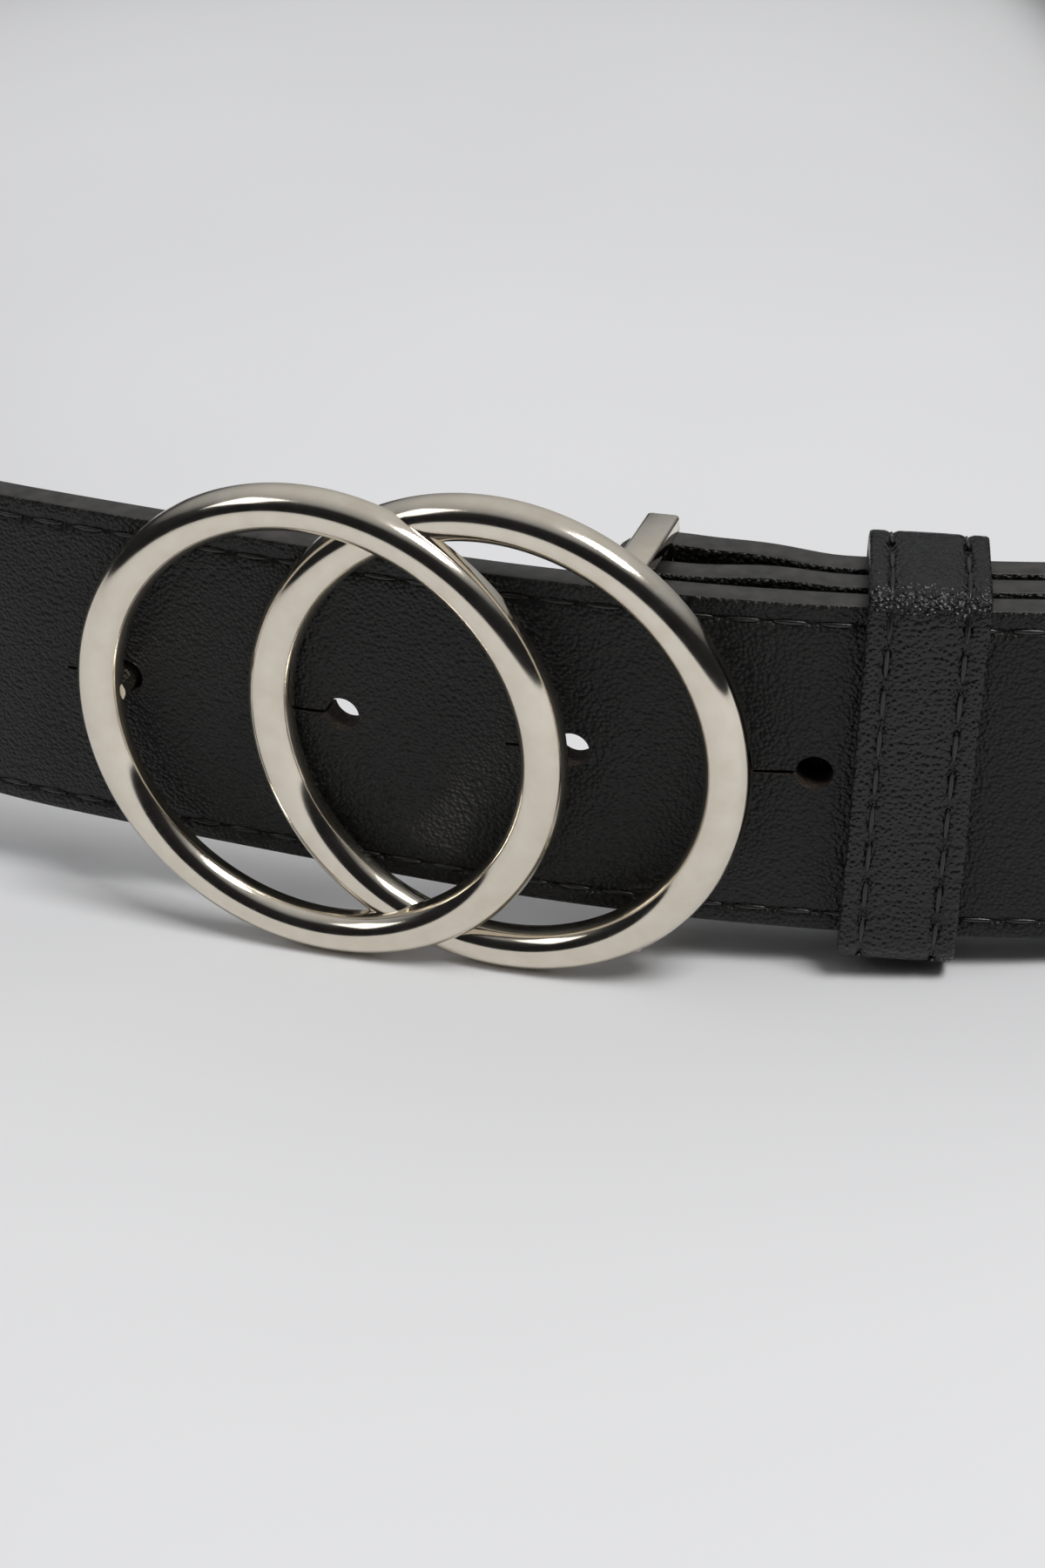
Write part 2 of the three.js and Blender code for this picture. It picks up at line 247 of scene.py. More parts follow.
def strap_line():
    """Middle line from the flap's end to the tip, as (point, lower edge, inset)."""
    line = [(loop_point(s, flap_offset(s)), lift(s), 0) for s in stations(FLAP_END_STATION, BAR_STATION)]
    inner = loop_point(BAR_STATION, flap_offset(BAR_STATION))
    outer = loop_point(BAR_STATION, second_offset(BAR_STATION))
    centre = (inner + outer) / 2
    fold_steps = 16
    for i in range(1, fold_steps):
        turned = Matrix.Rotation(math.pi * i / fold_steps, 2) @ (inner - centre)
        line.append((centre + turned, lift(BAR_STATION), 0))
    end = LOOP_LENGTH + TIP_STATION
    leaves_second_layer = TIP_STATION + 12
    joins_outer_layer = LOOP_LENGTH - 120
    second_lap = LOOP_LENGTH - 40
    tip_steps = 14
    tip = [end - TIP_LENGTH * math.cos(math.pi / 2 * i / tip_steps) for i in range(1, tip_steps + 1)]
    for s in stations(BAR_STATION, end - TIP_LENGTH) + tip:
        inside = 1 - smooth(leaves_second_layer, joins_outer_layer, s)
        outward = second_offset(s) * inside if s < second_lap else 0
        line.append((loop_point(s, outward), lift(s), tip_inset(end - s)))
    return line


def strap_profile(inset):
    """Section as (outwards, up) pairs: flat faces, a stitch groove near each edge, small rounded arrises."""
    half = STRAP_THICKNESS / 2
    swell = 0.07
    side = [
        (-0.42, 0.0), (-0.16, 0.08), (-0.03, 0.24), (0.0, 0.5), (0.02, 1.1), (0.01, 1.6), (-0.1, 1.9),
        (-0.3, STITCH_INSET), (-0.1, 2.5), (0.02, 2.9), (0.04, 3.8), (0.06, 7.0), (swell, 12.0),
    ]
    shrink = (STRAP_WIDTH - 2 * inset) / STRAP_WIDTH
    lower = [(half + out, inset + up * min(shrink * 1.4, 1)) for out, up in side]
    upper = [(out, STRAP_WIDTH - up) for out, up in reversed(lower)]
    face = lower + [(half + swell, STRAP_WIDTH / 2)] + upper
    return face + [(-out, up) for out, up in reversed(face)]


def sweep_mesh(name, rings, closed_path, uv_along, uv_across, faces_material):
    """Quads between successive closed rings of points in mm, with a UV map in units of UV_UNIT."""
    size = len(rings[0])
    count = len(rings)
    vertices = [(Vector(p) + SHIFT) * MM for ring in rings for p in ring]
    faces = []
    uvs = []
    materials = []
    for i in range(count if closed_path else count - 1):
        n = (i + 1) % count
        for j in range(size):
            k = (j + 1) % size
            faces.append((i * size + j, n * size + j, n * size + k, i * size + k))
            u0, u1 = uv_along[i] / UV_UNIT, uv_along[i + 1] / UV_UNIT
            v0, v1 = uv_across[j] / UV_UNIT, uv_across[j + 1] / UV_UNIT
            uvs.extend([(u0, v0), (u1, v0), (u1, v1), (u0, v1)])
            materials.append(faces_material(j))
    if not closed_path:
        faces.append(tuple(range(size)))
        faces.append(tuple((count - 1) * size + j for j in reversed(range(size))))
        for i, row in ((0, range(size)), (count - 1, reversed(range(size)))):
            uvs.extend([(uv_along[i] / UV_UNIT, uv_across[j] / UV_UNIT) for j in row])
        materials.extend([1, 1])
    mesh = bpy.data.meshes.new(name)
    mesh.from_pydata(vertices, [], faces)
    layer = mesh.uv_layers.new(name="millimetres")
    for loop_index, uv in enumerate(uvs):
        layer.data[loop_index].uv = uv
    for polygon, material in zip(mesh.polygons, materials):
        polygon.material_index = material
        polygon.use_smooth = True
    return mesh


def add_object(name, mesh, materials):
    """An object of the mesh, with its materials, in the scene."""
    obj = bpy.data.objects.new(name, mesh)
    bpy.context.scene.collection.objects.link(obj)
    for material in materials:
        obj.data.materials.append(material)
    return obj


def bake_modifiers(obj):
    """Turns the modifiers' result into the object's plain mesh."""
    graph = bpy.context.evaluated_depsgraph_get()
    mesh = bpy.data.meshes.new_from_object(obj.evaluated_get(graph), depsgraph=graph)
    obj.modifiers.clear()
    obj.data = mesh


def srgb(hex_colour):
    """Linear RGBA from an sRGB hex colour."""
    channels = [int(hex_colour[i:i + 2], 16) / 255 for i in (1, 3, 5)]
    return [c / 12.92 if c < 0.04045 else ((c + 0.055) / 1.055) ** 2.4 for c in channels] + [1.0]


class Nodes:
    """A material's node tree with one way to add a node.

    The colour and roughness given at the start are the means, which a pattern may then vary.
    """

    def __init__(self, name, colour, roughness, metallic=0.0):
        self.material = bpy.data.materials.new(name)
        self.material.use_nodes = True
        self.tree = self.material.node_tree
        self.shader = self.tree.nodes["Principled BSDF"]
        self.set(self.shader, {"Base Color": srgb(colour), "Roughness": roughness, "Metallic": metallic})

    def set(self, node, values):
        """Links or sets the node's inputs, by name or place."""
        for key, value in values.items():
            if isinstance(value, bpy.types.NodeSocket):
                self.tree.links.new(value, node.inputs[key])
            else:
                node.inputs[key].default_value = value

    def add(self, kind, settings=None, **values):
        """A node with its settings and inputs."""
        node = self.tree.nodes.new(kind)
        for key, value in (settings or {}).items():
            setattr(node, key, value)
        self.set(node, {key.replace("_", " "): value for key, value in values.items()})
        return node

    def maths(self, operation, *values):
        """The result of one sum on values or sockets."""
        node = self.add("ShaderNodeMath", {"operation": operation})
        for index, value in enumerate(values):
            self.set(node, {index: value})
        return node.outputs[0]

    def ramp(self, value, stops):
        """Colour ramp from (position, hex) stops."""
        node = self.add("ShaderNodeValToRGB", Fac=value)
        elements = node.color_ramp.elements
        while len(elements) < len(stops):
            elements.new(0.5)
        for element, (position, colour) in zip(elements, stops):
            element.position = position
            element.color = srgb(colour)
        return node.outputs["Color"]

    def object_coordinates(self):
        return self.add("ShaderNodeTexCoord").outputs["Object"]


def per_mm(size_mm):
    """Texture scale, on object coordinates in metres, for a feature of this many millimetres."""
    return MM_PER_METRE / size_mm


def pebble_grain(nodes, size_mm, strength, depth_mm):
    """Fine pebbled leather grain: small rounded cells under a slower unevenness."""
    place = nodes.object_coordinates()
    cells = nodes.add("ShaderNodeTexVoronoi", {"feature": "SMOOTH_F1"}, Vector=place, Scale=per_mm(size_mm),
                      Smoothness=0.35)
    fine = nodes.add("ShaderNodeTexNoise", Vector=place, Scale=per_mm(size_mm * 0.5), Detail=3.0)
    slow = nodes.add("ShaderNodeTexNoise", Vector=place, Scale=per_mm(7), Detail=2.0)
    height = nodes.maths("ADD", nodes.maths("MULTIPLY", cells.outputs["Distance"], -1.0),
                         nodes.maths("MULTIPLY", fine.outputs["Fac"], 0.35))
    grain = nodes.add("ShaderNodeBump", Strength=strength, Distance=depth_mm * MM, Height=height)
    wave = nodes.add("ShaderNodeBump", Strength=0.3, Distance=0.12 * MM, Height=slow.outputs["Fac"],
                     Normal=grain.outputs["Normal"])
    return cells.outputs["Distance"], slow.outputs["Fac"], wave.outputs["Normal"]


def strap_leather():
    """Synthetic leather: black polyurethane embossed with a pebble grain, under a satin top coat."""
    nodes = Nodes("strap_leather", "#0b0b09", 0.42)
    cells, slow, normal = pebble_grain(nodes, 0.44, 0.9, 0.22)
    colour = nodes.ramp(cells, [(0.1, "#191916"), (0.65, "#040403")])
    gloss = nodes.maths("ADD", nodes.maths("MULTIPLY", slow, 0.16), 0.34)
    nodes.set(nodes.shader, {"Base Color": colour, "Roughness": gloss, "Normal": pucker(nodes, normal),
                             "Specular IOR Level": 0.32})
    return nodes.material


def pucker(nodes, normal):
    """The leather pulled in at every stitch, next to the stitch groove."""
    uv = nodes.add("ShaderNodeUVMap", {"uv_map": "millimetres"}).outputs["UV"]
    split = nodes.add("ShaderNodeSeparateXYZ", Vector=uv)
    along = nodes.maths("MULTIPLY", split.outputs["X"], UV_UNIT * 2 * math.pi / STITCH_PITCH)
    ripple = nodes.maths("SINE", along)
    across = nodes.maths("MULTIPLY", split.outputs["Y"], UV_UNIT)
    from_middle = nodes.maths("ABSOLUTE", nodes.maths("SUBTRACT", across, STRAP_WIDTH / 2))
    from_row = nodes.maths("SUBTRACT", from_middle, STRAP_WIDTH / 2 - STITCH_INSET)
    near = nodes.maths("SUBTRACT", 1.0, nodes.maths("MULTIPLY", nodes.maths("ABSOLUTE", from_row), 0.7))
    near = nodes.maths("MAXIMUM", near, 0.0)
    height = nodes.maths("MULTIPLY", ripple, near)
    bump = nodes.add("ShaderNodeBump", Strength=0.7, Distance=0.12 * MM, Height=height, Normal=normal)
    return bump.outputs["Normal"]


def keeper_leather():
    """The same synthetic leather, glossier and more crinkled where it is folded tight."""
    nodes = Nodes("keeper_leather", "#12110f", 0.34)
    cells, slow, normal = pebble_grain(nodes, 0.5, 1.0, 0.26)
    colour = nodes.ramp(cells, [(0.15, "#131211"), (0.75, "#070706")])
    gloss = nodes.maths("ADD", nodes.maths("MULTIPLY", slow, 0.12), 0.2)
    nodes.set(nodes.shader, {"Base Color": colour, "Roughness": gloss, "Normal": normal,
                             "Specular IOR Level": 0.4})
    return nodes.material


def edge_paint():
    """Black acrylic edge paint, rubbed smooth over the cut edge."""
    nodes = Nodes("edge_paint", "#22211f", 0.4)
    place = nodes.object_coordinates()
    smear = nodes.add("ShaderNodeTexNoise", Vector=place, Scale=per_mm(1.6), Detail=4.0)
    bump = nodes.add("ShaderNodeBump", Strength=0.35, Distance=0.08 * MM, Height=smear.outputs["Fac"])
    colour = nodes.ramp(smear.outputs["Fac"], [(0.3, "#211f1e"), (0.75, "#3b3936")])
    nodes.set(nodes.shader, {"Base Color": colour, "Normal": bump.outputs["Normal"]})
    return nodes.material


def raw_hole_wall():
    """Punched backing that shows in the holes: brown fibre, rough and frayed."""
    nodes = Nodes("raw_hole_wall", "#2c241d", 0.9)
    place = nodes.object_coordinates()
    fibre = nodes.add("ShaderNodeTexNoise", Vector=place, Scale=per_mm(0.35), Detail=5.0)
    bump = nodes.add("ShaderNodeBump", Strength=0.9, Distance=0.15 * MM, Height=fibre.outputs["Fac"])
    colour = nodes.ramp(fibre.outputs["Fac"], [(0.35, "#17120f"), (0.7, "#4a3d31")])
    nodes.set(nodes.shader, {"Base Color": colour, "Normal": bump.outputs["Normal"]})
    return nodes.material


def waxed_thread():
    """Black waxed polyester thread, with its twist."""
    nodes = Nodes("waxed_thread", "#0e0d0c", 0.28)
    place = nodes.object_coordinates()
    twist = nodes.add("ShaderNodeTexNoise", Vector=place, Scale=per_mm(0.3), Detail=2.0)
    bump = nodes.add("ShaderNodeBump", Strength=0.5, Distance=0.05 * MM, Height=twist.outputs["Fac"])
    colour = nodes.ramp(twist.outputs["Fac"], [(0.3, "#080807"), (0.7, "#211f1c")])
    nodes.set(nodes.shader, {"Base Color": colour, "Normal": bump.outputs["Normal"]})
    return nodes.material


def polished_nickel():
    """Cast zinc with a polished nickel plate: faint casting unevenness and hairline wear."""
    nodes = Nodes("polished_nickel", "#e0d8c9", 0.12, 1.0)
    place = nodes.object_coordinates()
    cast = nodes.add("ShaderNodeTexNoise", Vector=place, Scale=per_mm(5), Detail=1.0)
    haze = nodes.add("ShaderNodeTexNoise", Vector=place, Scale=per_mm(2.2), Detail=6.0)
    hair = nodes.add("ShaderNodeTexWave", Vector=place, Scale=per_mm(1.4), Distortion=9.0, Detail=3.0)
    bump = nodes.add("ShaderNodeBump", Strength=0.25, Distance=0.05 * MM, Height=cast.outputs["Fac"])
    fine = nodes.add("ShaderNodeBump", Strength=0.05, Distance=0.01 * MM, Height=hair.outputs["Fac"],
                     Normal=bump.outputs["Normal"])
    gloss = nodes.maths("ADD", nodes.maths("MULTIPLY", haze.outputs["Fac"], 0.12), 0.06)
    colour = nodes.ramp(haze.outputs["Fac"], [(0.3, "#dad1c1"), (0.7, "#e3dbcd")])
    nodes.set(nodes.shader, {"Base Color": colour, "Roughness": gloss, "Normal": fine.outputs["Normal"]})
    return nodes.material


def floor_card():
    """Matt white studio board."""
    nodes = Nodes("floor_card", "#e4e4e5", 0.75)
    place = nodes.object_coordinates()
    tone = nodes.add("ShaderNodeTexNoise", Vector=place, Scale=9.0, Detail=2.0)
    colour = nodes.ramp(tone.outputs["Fac"], [(0.3, "#e2e2e3"), (0.7, "#e6e6e7")])
    nodes.set(nodes.shader, {"Base Color": colour})
    return nodes.material


def hole_cutter():
    """One prism for each keyhole: a round hole with a short slit to its left."""
    margin = 0.6
    half_depth = STRAP_THICKNESS / 2 + margin
    slit_angle = math.asin(SLIT_WIDTH / 2 / HOLE_RADIUS)
    slit_end = SLIT_WIDTH * 2 / 3
    arc_steps = 32
    vertices = []
    faces = []
    for i in range(HOLE_COUNT):
        station = (i - HOLES_BEFORE_STUD) * HOLE_PITCH
        point, heading = loop_frame(station)
        along = Vector((math.cos(heading), math.sin(heading), 0))
        inward = Vector((-along.y, along.x, 0))
        middle = Vector((point.x, point.y, lift(station) + STRAP_WIDTH / 2))
        outline = []
        for k in range(arc_steps + 1):
            angle = -math.pi + slit_angle + (2 * math.pi - 2 * slit_angle) * k / arc_steps
            outline.append((HOLE_RADIUS * math.cos(angle), HOLE_RADIUS * math.sin(angle)))
        outline.append((-HOLE_RADIUS - SLIT_LENGTH, slit_end / 2))
        outline.append((-HOLE_RADIUS - SLIT_LENGTH, -slit_end / 2))
        size = len(outline)
        base = len(vertices)
        for side in (-half_depth, half_depth):
            for a, b in outline:
                vertices.append((middle + along * a + Vector((0, 0, b)) + inward * side + SHIFT) * MM)
        faces.append([base + k for k in range(size)])
        faces.append([base + size + k for k in reversed(range(size))])
        for k in range(size):
            n = (k + 1) % size
            faces.append([base + k, base + size + k, base + size + n, base + n])
    mesh = bpy.data.meshes.new("hole_cutter")
    mesh.from_pydata(vertices, [], faces)
    mesh.update()
    return mesh


def strap_frames():
    """For each point of the line: place, lower edge, inset, outward direction and distance along."""
    line = strap_line()
    result = []
    run = 0.0
    for i, (point, bottom, inset) in enumerate(line):
        before = line[max(i - 1, 0)][0]
        after = line[min(i + 1, len(line) - 1)][0]
        along = (after - before).normalized()
        if i:
            run += (point - line[i - 1][0]).length
        result.append((point, bottom, inset, Vector((along.y, -along.x)), run))
    return result


FRAMES = strap_frames()


def build_strap(leather, paint, wall):
    """The whole strap in one sweep, painted along its edges, with the keyholes cut through."""
    rings = []
    for point, bottom, inset, outward, _ in FRAMES:
        ring = []
        for out, up in strap_profile(inset):
            ring.append((point.x + outward.x * out, point.y + outward.y * out, bottom + up))
        rings.append(ring)
    profile = strap_profile(0)
    across = [up for _, up in profile] + [profile[0][1]]
    edge_limit = STRAP_THICKNESS / 2 - 0.4
    least_width = 0.2

    def material(j):
        out_a, out_b = profile[j][0], profile[(j + 1) % len(profile)][0]
        return int(min(abs(out_a), abs(out_b)) < edge_limit and abs(out_a - out_b) > least_width)

    mesh = sweep_mesh("strap", rings, False, [run for *_, run in FRAMES], across, material)
    strap = add_object("strap_leather_band", mesh, [leather, paint, wall])
    cutter = add_object("cutter", hole_cutter(), [wall])
    modifier = strap.modifiers.new("holes", "BOOLEAN")
    modifier.operation = "DIFFERENCE"
    modifier.solver = "EXACT"
    modifier.material_mode = "TRANSFER"
    modifier.object = cutter
    bake_modifiers(strap)
    strap.data.set_sharp_from_angle(angle=STRAP_SHARP_ANGLE)
    bpy.data.objects.remove(cutter)
    return strap


def stitch_group():
    """Geometry nodes: one stitch every pitch along an edge path, lying along it with its face outwards."""
    group = bpy.data.node_groups.new("row_of_stitches", "GeometryNodeTree")
    face = group.interface
    face.new_socket("Path", in_out="INPUT", socket_type="NodeSocketGeometry")
    for name in ("Pitch", "Stitch Length", "Thread Radius"):
        face.new_socket(name, in_out="INPUT", socket_type="NodeSocketFloat")
    face.new_socket("Thread", in_out="INPUT", socket_type="NodeSocketMaterial")
    face.new_socket("Stitches", in_out="OUTPUT", socket_type="NodeSocketGeometry")

    def add(kind, settings=None, links=None):
        node = group.nodes.new(kind)
        for key, value in (settings or {}).items():
            setattr(node, key, value)
        for key, value in (links or {}).items():
            if isinstance(value, bpy.types.NodeSocket):
                group.links.new(value, node.inputs[key])
            else:
                node.inputs[key].default_value = value
        return node

    inputs = add("NodeGroupInput").outputs
    curve = add("GeometryNodeMeshToCurve", links={"Mesh": inputs["Path"]})
    points = add("GeometryNodeResampleCurve", {"mode": "LENGTH"},
                 {"Curve": curve.outputs[0], "Length": inputs["Pitch"]})
    tangent = add("GeometryNodeInputTangent")
    outward = add("GeometryNodeInputNamedAttribute", {"data_type": "FLOAT_VECTOR"}, {"Name": "outward"})
    lie = add("FunctionNodeAlignRotationToVector", {"axis": "X"}, {"Vector": tangent.outputs[0]})
    stand = add("FunctionNodeAlignRotationToVector", {"axis": "Z", "pivot_axis": "X"},
                {"Rotation": lie.outputs[0], "Vector": outward.outputs[0]})
    half = add("ShaderNodeMath", {"operation": "MULTIPLY"}, {0: inputs["Stitch Length"], 1: 0.5})
    size = add("ShaderNodeCombineXYZ", links={"X": half.outputs[0], "Y": inputs["Thread Radius"],
                                              "Z": inputs["Thread Radius"]})
    stitch = add("GeometryNodeMeshUVSphere", links={"Segments": 8, "Rings": 8, "Radius": 1.0})
    turned = add("GeometryNodeTransform", links={"Geometry": stitch.outputs["Mesh"],
                                                 "Rotation": (0, math.pi / 2, 0)})
    laid = add("GeometryNodeInstanceOnPoints", links={
        "Points": points.outputs[0], "Instance": turned.outputs[0], "Rotation": stand.outputs[0],
        "Scale": size.outputs[0]})
    real = add("GeometryNodeRealizeInstances", links={"Geometry": laid.outputs[0]})
    shaded = add("GeometryNodeSetShadeSmooth", links={"Geometry": real.outputs[0]})
    coated = add("GeometryNodeSetMaterial",
                 links={"Geometry": shaded.outputs[0], "Material": inputs["Thread"]})
    add("NodeGroupOutput", links={"Stitches": coated.outputs[0]})
    return group


def stitch_rows(name, paths, group, thread):
    """Stitches along the paths, each a list of (place in mm, outward direction) and a closed flag."""
    vertices = []
    edges = []
    directions = []
    for path, closed in paths:
        base = len(vertices)
        for place, outward in path:
            vertices.append((place + SHIFT) * MM)
            directions.extend(outward)
        edges.extend((base + i, base + i + 1) for i in range(len(path) - 1))
        if closed:
            edges.append((base + len(path) - 1, base))
    mesh = bpy.data.meshes.new(name)
    mesh.from_pydata(vertices, edges, [])
    mesh.attributes.new("outward", "FLOAT_VECTOR", "POINT").data.foreach_set("vector", directions)
    obj = add_object(name, mesh, [])
    modifier = obj.modifiers.new("stitches", "NODES")
    modifier.node_group = group
    values = {"Pitch": STITCH_PITCH * MM, "Stitch Length": STITCH_LENGTH * MM,
              "Thread Radius": STITCH_RADIUS * MM, "Thread": thread}
    for item in group.interface.items_tree:
        if item.in_out == "INPUT" and item.name in values:
            modifier[item.identifier] = values[item.name]
    bake_modifiers(obj)
    return obj


def strap_stitch_paths(side):
    """Both rows on the outer (1) or inner (-1) face; the inset follows the rounded tip."""
    paths = []
    sunk = 0.2
    surface = STRAP_THICKNESS / 2 - sunk
    bare_at_flap, bare_at_tip = 3, 7
    for upper in (False, True):
        path = []
        for point, bottom, inset, outward, _ in FRAMES[bare_at_flap:-bare_at_tip]:
            height = inset + STITCH_INSET
            up = STRAP_WIDTH - height if upper else height
            place = point + outward * (side * surface)
            direction = Vector((outward.x * side, outward.y * side, 0))
            path.append((Vector((place.x, place.y, bottom + up)), direction))
        paths.append((path, False))
    return paths


def keeper_frame():
    """The keeper's middle and its directions along the strap, inwards and up, tilted with the strap."""
    point, heading = loop_frame(KEEPER_STATION)
    flat = Vector((math.cos(heading), math.sin(heading), 0))
    along = flat * math.cos(KEEPER_TILT) + Vector((0, 0, math.sin(KEEPER_TILT)))
    inward = Vector((-flat.y, flat.x, 0))
    up = along.cross(inward)
    centre = Vector((point.x, point.y, lift(KEEPER_STATION) + STRAP_WIDTH / 2))
    return centre, along, inward, up


def keeper_ring_points():
    """Places on the inner face and outward directions, once round, with the straight sides subdivided."""
    front = -(STRAP_THICKNESS / 2 + GAP)
    back = -flap_offset(KEEPER_STATION) + STRAP_THICKNESS / 2 + GAP + KEEPER_BACK_CLEARANCE
    half_height = STRAP_WIDTH / 2 + GAP + KEEPER_CLEARANCE
    radius = KEEPER_CORNER
    corners = [
        (front + radius, half_height - radius, 90), (front + radius, -half_height + radius, 180),
        (back - radius, -half_height + radius, 270), (back - radius, half_height - radius, 0),
    ]
    corner_steps = 8
    long_steps = 22
    short_steps = 5
    points = []
    for index, (x, y, start) in enumerate(corners):
        for k in range(corner_steps + 1):
            angle = math.radians(start + 90 * k / corner_steps)
            direction = Vector((math.cos(angle), math.sin(angle)))
            points.append((Vector((x, y)) + direction * radius, direction))
        next_x, next_y, _ = corners[(index + 1) % len(corners)]
        direction = points[-1][1]
        first = points[-1][0]
        last = Vector((next_x, next_y)) + direction * radius
        steps = long_steps if abs(last.y - first.y) > STRAP_WIDTH / 2 else short_steps
        points.extend((first.lerp(last, k / steps), direction) for k in range(1, steps))
    return points


def build_keeper(leather, paint):
    """A closed band with painted edges and two stitch grooves round its outer face."""
    centre, along, inward, up = keeper_frame()
    half = KEEPER_WIDTH / 2
    wall = KEEPER_WALL
    outer = [
        (wall - 0.45, half), (wall - 0.15, half - 0.06), (wall - 0.02, half - 0.3), (wall, half - 0.8),
        (wall, half - 1.5), (wall - 0.12, half - 1.85), (wall - 0.3, half - STITCH_INSET),
        (wall - 0.12, half - 2.55), (wall, half - 2.9), (wall + 0.03, half - 4.2),
    ]
    band = outer + [(wall + 0.04, 0.0)] + [(t, -w) for t, w in reversed(outer)]
    ease = 0.25
    band += [(ease, -half), (0.0, -half + ease), (0.0, 0.0), (0.0, half - ease), (ease, half)]
    rings = []
    runs = [0.0]
    points = keeper_ring_points()
    for place, direction in points:
        ring = []
        for thickness, width in band:
            flat = place + direction * thickness
            ring.append(centre + inward * flat.x + up * flat.y + along * width)
        rings.append(ring)
    for i in range(len(points)):
        runs.append(runs[-1] + (points[(i + 1) % len(points)][0] - points[i][0]).length)
    across = [w for _, w in band] + [band[0][1]]

    def material(j):
        return int(min(abs(band[j][1]), abs(band[(j + 1) % len(band)][1])) > half - 0.01)

    mesh = sweep_mesh("keeper", rings, True, runs, across, material)
    return add_object("keeper_band", mesh, [leather, paint])


def keeper_stitch_paths():
    """One closed row along each of the keeper's edges."""
    sunk = 0.15
    inset = KEEPER_WIDTH / 2 - STITCH_INSET
    centre, along, inward, up = keeper_frame()
    paths = []
    for side in (-1, 1):
        path = []
        for place, direction in keeper_ring_points():
            flat = place + direction * (KEEPER_WALL - sunk)
            spot = centre + inward * flat.x + up * flat.y + along * (side * inset)
            path.append((spot, inward * direction.x + up * direction.y))
        paths.append((path, True))
    return paths


def turned_mesh(name, profile, segments, matrix):
    """Closed profile of (radius, along axis) turned about the local Y axis, placed by the matrix in mm."""
    vertices = []
    faces = []
    size = len(profile)
    for i in range(segments):
        angle = 2 * math.pi * i / segments
        for radius, along in profile:
            spot = matrix @ Vector((radius * math.cos(angle), along, radius * math.sin(angle)))
            vertices.append((spot + SHIFT) * MM)
    for i in range(segments):
        n = (i + 1) % segments
        for j in range(size):
            k = (j + 1) % size
            faces.append((i * size + j, i * size + k, n * size + k, n * size + j))
    mesh = bpy.data.meshes.new(name)
    mesh.from_pydata(vertices, [], faces)
    mesh.update()
    return mesh


def ring_mesh(name, x, setback):
    """Ring of D section: domed front, short inner and outer walls, flat back with eased edges."""
    dome_steps = 24
    ring_steps = 240
    ease = 0.12
    profile = []
    for i in range(dome_steps + 1):
        angle = math.pi * i / dome_steps
        profile.append((LIMB_RADIUS + math.cos(angle) * LIMB_WIDTH / 2, -DOME_HEIGHT * math.sin(angle)))
    inner = LIMB_RADIUS - LIMB_WIDTH / 2
    outer = LIMB_RADIUS + LIMB_WIDTH / 2
    profile += [
        (inner, WALL_HEIGHT - ease), (inner + ease, WALL_HEIGHT), (outer - ease, WALL_HEIGHT),
        (outer, WALL_HEIGHT - ease),
    ]
    matrix = Matrix.Translation((x, setback, RING_RADIUS)) @ Matrix.Rotation(-LEAN, 4, "X")
    return turned_mesh(name, profile, ring_steps, matrix)


def rounded_box_mesh(name, centre, size, bevel):
    """Box in mm with its edges rounded."""
    work = bmesh.new()
    bmesh.ops.create_cube(work, size=1.0)
    for vertex in work.verts:
        vertex.co = (Vector(centre) + Vector([c * s for c, s in zip(vertex.co, size)]) + SHIFT) * MM
    bmesh.ops.bevel(work, geom=list(work.edges), offset=bevel * MM, segments=3, profile=0.5, affect="EDGES")
    mesh = bpy.data.meshes.new(name)
    work.to_mesh(mesh)
    work.free()
    return mesh


def leg_meshes(bar, low, high):
    """The two flat legs from the rear ring's back to the bar's ends."""
    meshes = []
    leg_end = bar.y + BAR_RADIUS
    into_ring = 0.2
    for side, height, x in ((-1, low, bar.x + LEG["lower_shift"]), (1, high, bar.x)):
        leg_start = REAR_RING_SETBACK + WALL_HEIGHT - into_ring + side * math.sin(LEAN) * LIMB_RADIUS
        size = (LEG["width"], leg_end - leg_start, LEG["thickness"])
        meshes.append(rounded_box_mesh("leg", (x, (leg_start + leg_end) / 2, height), size, LEG["round"]))
    return meshes


def bar_mesh(bar, low, high):
    """The upright round bar between the legs."""
    half = (high - low) / 2
    profile = [(ON_AXIS, half), (BAR_RADIUS, half), (BAR_RADIUS, -half), (ON_AXIS, -half)]
    upright = Matrix.Translation((bar.x, bar.y, (low + high) / 2)) @ Matrix.Rotation(math.pi / 2, 4, "X")
    return turned_mesh("bar", profile, 24, upright)


def stud_mesh():
    """The stud from the front ring's back through the strap's hole, with its mushroom head."""
    neck_end = STRAP_FRONT + STRAP_THICKNESS + 2 * GAP
    profile = [
        (ON_AXIS, 0.0), (STUD_SHANK_RADIUS, 0.0), (STUD_SHANK_RADIUS, neck_end), (3.1, neck_end + 0.3),
        (3.2, neck_end + 0.7), (2.6, neck_end + 1.25), (1.4, neck_end + 1.55), (ON_AXIS, neck_end + 1.6),
    ]
    place = Matrix.Translation((STUD_X, 0, lift(0) + STRAP_WIDTH / 2))
    return turned_mesh("stud", profile[::-1], 28, place)


